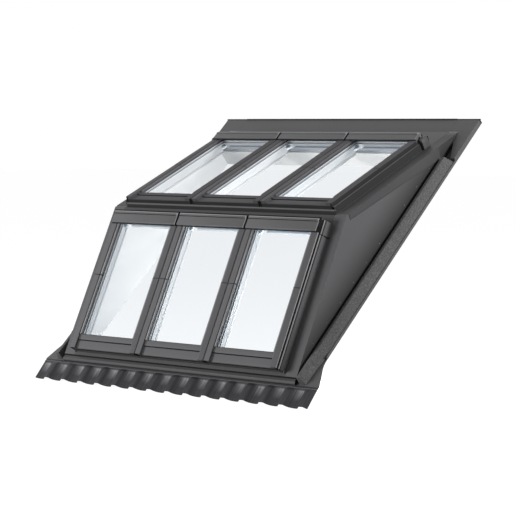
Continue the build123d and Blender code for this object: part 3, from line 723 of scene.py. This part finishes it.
# ---------------------------------------------------------------- posts and gutters between windows
# White painted posts fill the joints between windows, and a folded drip channel in dark sheet
# lies over each post.
dress(whites["lower"], "mullion_rafters")
gutter_finish = coated_sheet("gutter_sheet", (0.030, 0.030, 0.032), (0.045, 0.045, 0.047), 0.45)
dress(gutter_finish, "mullion_gutters")

# ---------------------------------------------------------------- cheek cladding
# One smooth sheet a side, folded round the front edge and over the top. Its sides are painted darker
# towards the roof, a painted shade where the cheek meets it, and a row of small screws holds its foot there.
def how_far(spot, direction):
    """Distance of a place along a direction, in metres."""
    return spot.node("ShaderNodeVectorMath", {"operation": "DOT_PRODUCT"}, {0: spot, 1: direction}, 1)


def painted_roof_shade(spot):
    """1 on unshaded sheet, falling to 0 where the cheek meets the roof: painted shade on faces that look
    sideways.
    """
    level = how_far(spot, (0.0, -sin(roof_pitch), cos(roof_pitch)))
    unshaded = spot.node(
        "ShaderNodeMapRange", {"interpolation_type": "SMOOTHSTEP"},
        {0: level + 0.012 * noise(spot, 3.0), 1: 0.080, 2: 0.430, 3: 0.0, 4: 1.0},
    )
    facing = spot.node("ShaderNodeSeparateXYZ", None, {0: spot.node("ShaderNodeNewGeometry", out=1)})
    return unshaded.sum("MAXIMUM", unshaded, 1.0 - facing.sum("ABSOLUTE", facing))


# Painted shade: the cheek sides darken towards the roof.
cladding_finish = coated_sheet(
    "coated_cladding", (0.104, 0.104, 0.108), (0.128, 0.128, 0.133), 0.42, shade=painted_roof_shade
)
dress(cladding_finish, "left_cheek_cladding", "right_cheek_cladding")

# ---------------------------------------------------------------- flashings at the foot, ridge and head
# Each is one coated sheet folded on a bench: a rounded band under the windows, a flat strip at
# the ridge, cappings on the cheeks, and a wide apron with a raised hem at the head.
flashing_finish = coated_sheet("coated_flashing", (0.100, 0.100, 0.104), (0.130, 0.130, 0.134), 0.45)


def painted_hem_shadow(spot):
    """1 on the open sheet, 0 on the folded hem along the far edge, where it is painted near black as a
    painted shadow.
    """
    along = how_far(spot, (0.0, cos(roof_pitch), sin(roof_pitch)))
    return spot.node("ShaderNodeMapRange", None, {0: along, 1: 3.140, 2: 3.147, 3: 1.0, 4: 0.0})


# The head sheets take the flashing coating, painted near black along the hem: a painted shadow.
head_finish = coated_sheet(
    "coated_head_sheets", (0.100, 0.100, 0.104), (0.130, 0.130, 0.134), 0.45, shade=painted_hem_shadow, shaded=0.008
)
# A darker copy of the flashing coating for the sill band, ridge flashing, cheek cappings and head end caps:
# painted shade for the shadow they lie in.
shaded_flashing_finish = coated_sheet("coated_flashing_painted_shade", (0.062, 0.062, 0.065), (0.084, 0.084, 0.087), 0.45)
dress(head_finish, "head_flashing", "head_corner_pieces")
dress(flashing_finish, "left_side_flashing", "right_side_flashing")
dress(shaded_flashing_finish, "sill_flashing", "ridge_flashing", "cheek_cappings")

# ---------------------------------------------------------------- bead and seal of the ridge
# A rounded bead stiffens the top of the ridge flashing under the upper windows. It tapers off at
# both ends. Under it lies a black strip shaped like a compressed tape: painted shade in the hollow
# below the bead.
bead_middle, bead_left, bead_right = (27.9, 29.8), -1200.0, 1221.0
round_bead = [(27.9, 20), (22, 20.6), (18, 24), (16.6, 29.5), (18, 35), (22, 38.6), (27.9, 39.6)]
taper = [(0.0, 0.35), (2.5, 0.72), (7.0, 0.94), (12.0, 1.0)]
stations = [(bead_left + inset, share) for inset, share in taper]
stations += [(bead_right - inset, share) for inset, share in reversed(taper)]
ridge_bead = Stock()
ridge_bead.loft([
    [
        on_upper(x, *(centre + (value - centre) * share for centre, value in zip(bead_middle, point)))
        for point in round_bead
    ]
    for x, share in stations
])
piece("ridge_bead", ridge_bead, flashing_finish)
ridge_shade_strip = Stock()
ridge_shade_strip.bar(
    across_on(on_upper), [(27.9, 19.6), (21, 19.6), (18, 9), (3, 0.4), (27.9, 0.4)], bead_left, bead_right
)
piece("ridge_shade_strip", ridge_shade_strip, shade_finish)

# ---------------------------------------------------------------- turned-up edges beside the windows
# The cheek sheets turn up beside the outer windows. A folded rail caps each edge, painted pale as a
# painted highlight, and black tape closes the joints in it at the foot and at the ridge.
def up_on(place, side):
    """Lays a section up one side of a slope: a is out from the centre line, b out from the slope."""
    def spot(a, b, along):
        return place(side * a, along, b)
    return spot


rail_profile = [
    (1194.5, 60.2), (1194.5, 80), (1196, 82), (1200.5, 82), (1202, 80.6), (1202, 76), (1200.4, 76),
    (1200, 80.2), (1197, 80.4), (1196.2, 79), (1196.2, 60.2),
]
ridge_joint_tape = [
    (1194, 61), (1208, 61), (1221, 0.6), (1238, 0.6), (1238, 1.4), (1222, 1.8), (1209, 62.4), (1194, 62.4),
]
foot_joint_tape = [(1203, -3), (1224, -3), (1224, 0.8), (1203, 0.8)]
# A near-black strip over each flank of the upper upstands paints the shade on it.
flank_profile = [(1209.4, 58), (1219.4, 0.6), (1221, 0.6), (1211, 59)]
rails, joints, flanks = Stock(), Stock(), Stock()
for side in (-1, 1):
    up_front = up_on(on_front, side)
    rails.bar(up_front, rail_profile, 36.0, 1228.0)
    rails.bar(up_front, rail_profile, 1236.0, 1362.0)
    joints.bar(up_front, ridge_joint_tape, 1226.0, 1237.0)
    joints.bar(up_front, foot_joint_tape, 26.0, 38.0)
    flanks.bar(up_on(on_upper, side), flank_profile, 31.0, 1427.0)
piece("upstand_rails", rails, highlight_edge_finish, 0.4, 1)
piece("flashing_joints", joints, gap_finish)
piece("upstand_flanks", flanks, shade_finish)

# ---------------------------------------------------------------- caps and hems at the head
# A folded cap closes each end of the head flashing over the upper cheek, in the darker copy of the
# flashing coating that paints shade. A black strip paints the line of shadow in the open hem along
# its far edge.
cap_profile = [
    (1192.6, 98.4), (1222, 98.4), (1232, 90), (1238, 62), (1241, 14), (1241.4, 2), (1239.8, 2), (1239.4, 14),
    (1236.4, 61), (1230.6, 89), (1221.4, 96.8), (1192.6, 96.8),
]
cap_end_plate = [
    (1192.6, 96.6), (1221, 96.6), (1230, 88.6), (1236, 61), (1239, 14), (1239.4, 2), (1223, 2), (1213, 60),
    (1206, 84), (1192.6, 84),
]
head_hem_profile = [(3148, 94.6), (3148, 97.0), (3158.5, 96.0), (3158.5, 94.6)]
corner_hem_profile = [(3146, 90), (3146, 91), (3159, 91), (3159, 90)]
end_caps, head_hems = Stock(), Stock()
across_roof = across_on(on_roof)
head_hems.bar(across_roof, head_hem_profile, -1239.0, 1239.0)
for side in (-1, 1):
    end_caps.bar(up_on(on_upper, side), cap_profile, 1338.0, 1428.8)
    end_caps.bar(up_on(on_upper, side), cap_end_plate, 1338.0, 1339.4)
    head_hems.bar(across_roof, corner_hem_profile, side * 1242.0, side * 1496.0)
piece("head_end_caps", end_caps, shaded_flashing_finish, 0.5)
piece("head_hem_strips", head_hems, gap_finish)

# ---------------------------------------------------------------- seals of the sill band
# Near-black strips shaped like expanding foam tape lie in the groove over the rounded band and in
# the tuck under it: painted shade in these creases. Cut ends of the band and the toes of the cheeks
# are closed with black tape in the same finish.
band_half, band_tape = 1343.5, 4.0
groove_shade_strip = [(1.5, 0.6), (-1.2, 0.9), (-5, -2.2), (-11.5, -2.0), (-11.5, -5), (1.5, -3)]
tuck_shade_strip = [(-42.5, 42.2), (-52, 42.2), (-51, 43.2), (-46, 44), (-44.4, 48), (-43.6, 56), (-42.5, 56)]
end_tape = [(-44, 44), (-43, 68), (-38, 76), (-28, 81), (-4, 85), (14, 87), (14, 42)]
sill_shade_strips = Stock()
sill_shade_strips.bar(across_on(on_front), groove_shade_strip, -band_half, band_half)
sill_shade_strips.bar(across_roof, tuck_shade_strip, -band_half, band_half)
for side in (-1, 1):
    sill_shade_strips.bar(across_roof, end_tape, side * (band_half - band_tape), side * band_half)
piece("sill_shade_strips", sill_shade_strips, gap_finish)

# ---------------------------------------------------------------- screws along the cheeks
# Small dome-headed screws with sealing washers hold the foot of each cheek sheet, one every
# 235 mm.
screw_tree = bpy.data.node_groups.new("screw_row", "GeometryNodeTree")
screw_sizes = {"Count": 10, "Washer": 0.0062, "Head": 0.0042, "Rise": 0.0030}
for size_name in screw_sizes:
    kind = "NodeSocketInt" if size_name == "Count" else "NodeSocketFloat"
    screw_tree.interface.new_socket(name=size_name, in_out="INPUT", socket_type=kind)
for size_name in ("Start", "Step", "Outward"):
    screw_tree.interface.new_socket(name=size_name, in_out="INPUT", socket_type="NodeSocketVector")
screw_tree.interface.new_socket(name="Geometry", in_out="OUTPUT", socket_type="NodeSocketGeometry")
screws = Tone(screw_tree)
given = screw_tree.nodes.new("NodeGroupInput")
size = {socket.name: Tone(screw_tree, socket) for socket in given.outputs if socket.name}
row_line = screws.node(
    "GeometryNodeMeshLine", {"mode": "OFFSET"},
    {"Count": size["Count"], "Start Location": size["Start"], "Offset": size["Step"]},
)
washer = screws.node(
    "GeometryNodeMeshCylinder", None,
    {"Vertices": 16, "Radius": size["Washer"], "Depth": size["Rise"] * 0.5},
)
dome = screws.node("GeometryNodeMeshUVSphere", None, {"Segments": 16, "Rings": 8, "Radius": size["Head"]})
lifted = screws.node("ShaderNodeCombineXYZ", None, {2: size["Rise"] * 0.25})
flat = screws.node("ShaderNodeCombineXYZ", None, {0: 1.0, 1: 1.0, 2: 0.7})
dome = screws.node("GeometryNodeTransform", None, {"Geometry": dome, "Translation": lifted, "Scale": flat})
join = screw_tree.nodes.new("GeometryNodeJoinGeometry")
screw_tree.links.new(dome.socket, join.inputs[0])
screw_tree.links.new(washer.socket, join.inputs[0])
facing = screws.node("FunctionNodeAlignRotationToVector", {"axis": "Z"}, {"Vector": size["Outward"]})
placed = screws.node(
    "GeometryNodeInstanceOnPoints", None,
    {"Points": row_line, "Instance": Tone(screw_tree, join.outputs[0]), "Rotation": facing},
)
screw_finish, start, shader, connect = new_finish("zinc_screws", metallic=0.8)
worn = noise(spot_of(start), 500.0)
connect(worn.tint((0.12, 0.12, 0.125), (0.22, 0.22, 0.225)), 0.30 + 0.25 * worn)


def close_tree(tree, geometry, finish):
    """Ends a geometry tree: real meshes, in one finish, at its way out."""
    whole = geometry.node("GeometryNodeRealizeInstances", None, {"Geometry": geometry})
    coated = whole.node("GeometryNodeSetMaterial", None, {"Geometry": whole, "Material": finish})
    tree.links.new(coated.socket, tree.nodes.new("NodeGroupOutput").inputs[0])


def grown_from(tree, name, sizes, thickness=0.0):
    """Object made by a geometry tree with these sizes, turned into a plain mesh."""
    made = bpy.data.objects.new(name, bpy.data.meshes.new(name))
    bpy.context.scene.collection.objects.link(made)
    maker = made.modifiers.new("shape", "NODES")
    maker.node_group = tree
    for item in tree.interface.items_tree:
        if item.item_type == "SOCKET" and item.in_out == "INPUT" and item.name in sizes:
            maker[item.identifier] = sizes[item.name]
    if thickness:
        wall = made.modifiers.new("wall", "SOLIDIFY")
        wall.thickness = thickness
        wall.offset = -1.0
    made.data = bpy.data.meshes.new_from_object(
        made.evaluated_get(bpy.context.evaluated_depsgraph_get())
    )
    made.modifiers.clear()
    return made


close_tree(screw_tree, placed, screw_finish)
cheek_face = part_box("sill_flashing")[1][0] / mm
washer_out, first_along, screw_gap, screw_level = 0.7, 331.0, 235.0, 146.0
for name, side in (("left", -1), ("right", 1)):
    first_screw, next_screw = (
        on_roof(side * (cheek_face + washer_out), along, screw_level)
        for along in (first_along, first_along + screw_gap)
    )
    placed_sizes = dict(
        screw_sizes, Start=first_screw, Step=next_screw - first_screw, Outward=Vector((side, 0.0, 0.0))
    )
    settle(grown_from(screw_tree, f"{name}_cheek_screws", placed_sizes), screw_finish, 50.0)

# ---------------------------------------------------------------- foam wedges
# Open-cell sealing foam, cut to a wedge and glued in each side gutter. It is painted darker at the
# foot and paler higher up: painted shade and light that follow its height.
foam_finish, start, shader, connect = new_finish("open_cell_foam", specular=0.2)
spot = spot_of(start)
cells = start.node("ShaderNodeTexVoronoi", None, {"Vector": spot, "Scale": 95.0})
blotch = noise(spot, 60.0, 6.0, 0.8).ramp((0.35, 0.0), (0.65, 1.0))
shade = 0.55 * cells + 0.45 * blotch
height = start.node("ShaderNodeSeparateXYZ", None, {0: spot}, 2)
# Painted light: the colour grows paler with height.
painted_light_by_height = start.node("ShaderNodeMapRange", None, {0: height, 1: 0.35, 2: 0.80, 3: 0.9, 4: 1.15})
connect(
    (shade * painted_light_by_height).tint((0.050, 0.050, 0.050), (0.215, 0.215, 0.214)), 0.85 + 0.1 * cells, shade, 0.002, 0.7,
)
foam_inner, foam_foot, foam_crest = 1372.0, 46.0, 125.4
foam_stations = [
    (-28.0, 1440.0, 50.0), (150.0, 1444.0, 50.0), (330.0, 1481.5, 64.0), (2620.0, 1481.5, 64.0),
]
foams = Stock()
for side in (-1, 1):
    foams.loft([
        [on_roof(side * x, along, level) for x, level in (
            (foam_inner, foam_foot), (reach, foam_foot), (reach, thick),
            (foam_inner + 33.0, foam_crest), (foam_inner + 4.0, foam_crest),
        )]
        for along, reach, thick in foam_stations
    ])
made = piece("foam_wedges", foams, foam_finish, 2.0)
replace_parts(made, "foam_strips")

# ---------------------------------------------------------------- pleated apron
# A soft sheet with crimped lines down its slope, folded along the band and pressed over the tiles
# in fifteen waves: each rises steeply on its right and falls away gently. A painted highlight lies on
# the belly of each wave near the fold.
apron_finish, start, shader, connect = new_finish("pleated_sheet", specular=0.25)
spot = spot_of(start)
down_slope = turned(spot, (-roof_pitch, 0.0, 0.0), (150.0, 2.5, 2.5))
crimp = noise(down_slope, 1.0, 2.0).ramp((0.36, 0.0), (0.66, 1.0))
cloud = noise(spot, 6.0, 3.0)
# Painted highlight, stored on the sheet by its geometry tree, mixed in towards a pale grey.
rubbed = start.node("ShaderNodeAttribute", {"attribute_name": "rubbed"}, out=2)
base = (0.55 * crimp + 0.45 * cloud).tint((0.018, 0.018, 0.021), (0.058, 0.058, 0.065))
connect(
    start.node("ShaderNodeMix", {"data_type": "RGBA"}, {
        0: rubbed * (0.25 + 0.62 * crimp), 6: base, 7: (0.460, 0.460, 0.475, 1.0),
    }, 2),
    0.36 + 0.20 * crimp, crimp, 0.0022, 0.55,
)

apron_tree = bpy.data.node_groups.new("apron_waves", "GeometryNodeTree")
apron_sizes = {
    "Half width": 1.575, "Run": 0.1938, "Lap": 0.016, "Fold": -0.058, "Top level": 0.044,
    "Fall": 0.022, "Wave height": 0.030, "Waves": 15.0, "Wave start": 0.046,
}
for size_name in apron_sizes:
    apron_tree.interface.new_socket(name=size_name, in_out="INPUT", socket_type="NodeSocketFloat")
apron_tree.interface.new_socket(name="Geometry", in_out="OUTPUT", socket_type="NodeSocketGeometry")
apron = Tone(apron_tree)
given = apron_tree.nodes.new("NodeGroupInput")
size = {size_name: Tone(apron_tree, given.outputs[size_name]) for size_name in apron_sizes}
grid = apron.node("GeometryNodeMeshGrid", None, {
    "Size X": 2.0 * size["Half width"], "Size Y": size["Run"] + size["Lap"],
    "Vertices X": 451, "Vertices Y": 29,
})
place_now = apron.node("GeometryNodeInputPosition")
axes = apron.node("ShaderNodeSeparateXYZ", None, {0: place_now})
down = (size["Run"] - size["Lap"]) * 0.5 - axes.twin(1)
below = down.sum("MAXIMUM", down, 0.0)
wave = (axes + size["Half width"]) * size["Waves"]
wave = wave.sum("FRACT", wave.sum("DIVIDE", wave, 2.0 * size["Half width"]))
curve = apron.node("ShaderNodeFloatCurve", None, {"Value": wave})
curve_points = curve.socket.node.mapping.curves[0].points
wave_middle = 0.36
wave_shape = [
    (0.0, -0.02), (0.14, -0.25), (0.28, -0.34), (0.44, -0.33), (0.50, -0.15), (0.57, 0.36),
    (0.62, 0.60), (0.68, 0.64), (0.79, 0.63), (0.85, 0.52), (0.92, 0.22), (1.0, -0.02),
]
while len(curve_points) < len(wave_shape):
    curve_points.new(0.5, 0.5)
for point, (along, rise) in zip(curve_points, wave_shape):
    point.location = (along, rise + wave_middle)
    point.handle_type = "AUTO"
curve.socket.node.mapping.update()
grown = down.node(
    "ShaderNodeMapRange", {"interpolation_type": "SMOOTHSTEP"},
    {0: down, 1: 0.0, 2: size["Wave start"], 3: 0.0, 4: 1.0},
)
level = size["Top level"] - size["Fall"] * below.sum("DIVIDE", below, size["Run"])
level = level + grown * (curve - wave_middle) * size["Wave height"]
# Where the painted highlight lies: on each wave's belly, from just below the fold, fading down the slope.
crest = wave.ramp((0.0, 0.15), (0.12, 0.55), (0.30, 1.0), (0.38, 0.9), (0.43, 0.0), (0.88, 0.0), (1.0, 0.15))
fading = down.node("ShaderNodeMapRange", None, {0: down, 1: 0.034, 2: 0.125, 3: 1.0, 4: 0.0})
started = down.node("ShaderNodeMapRange", None, {0: down, 1: 0.020, 2: 0.028, 3: 0.0, 4: 1.0})
run = size["Fold"] - down
moved = apron.node("ShaderNodeCombineXYZ", None, {
    0: axes, 1: run * cos(roof_pitch) - level * sin(roof_pitch),
    2: run * sin(roof_pitch) + level * cos(roof_pitch),
})
marked = apron.node("GeometryNodeStoreNamedAttribute", {"data_type": "FLOAT", "domain": "POINT"}, {
    "Geometry": grid, "Name": "rubbed", "Value": crest * fading * started,
})
shaped = apron.node("GeometryNodeSetPosition", None, {"Geometry": marked, "Position": moved})
close_tree(apron_tree, shaped, apron_finish)

sheet_thickness = 0.003
apron_sheet = grown_from(apron_tree, "apron_waves_sheet", apron_sizes, sheet_thickness)
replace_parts(settle(apron_sheet, apron_finish, 50.0), "apron")
fold_profile = [(-59, 44.6), (-61, 46.2), (-64, 46.6), (-67, 45.4), (-68, 43.6), (-64, 43), (-60, 43.4)]
fold_bead = Stock()
fold_bead.bar(across_roof, fold_profile, -1574.5, 1574.5)
piece("apron_fold_bead", fold_bead, cover_finishes["lower"])
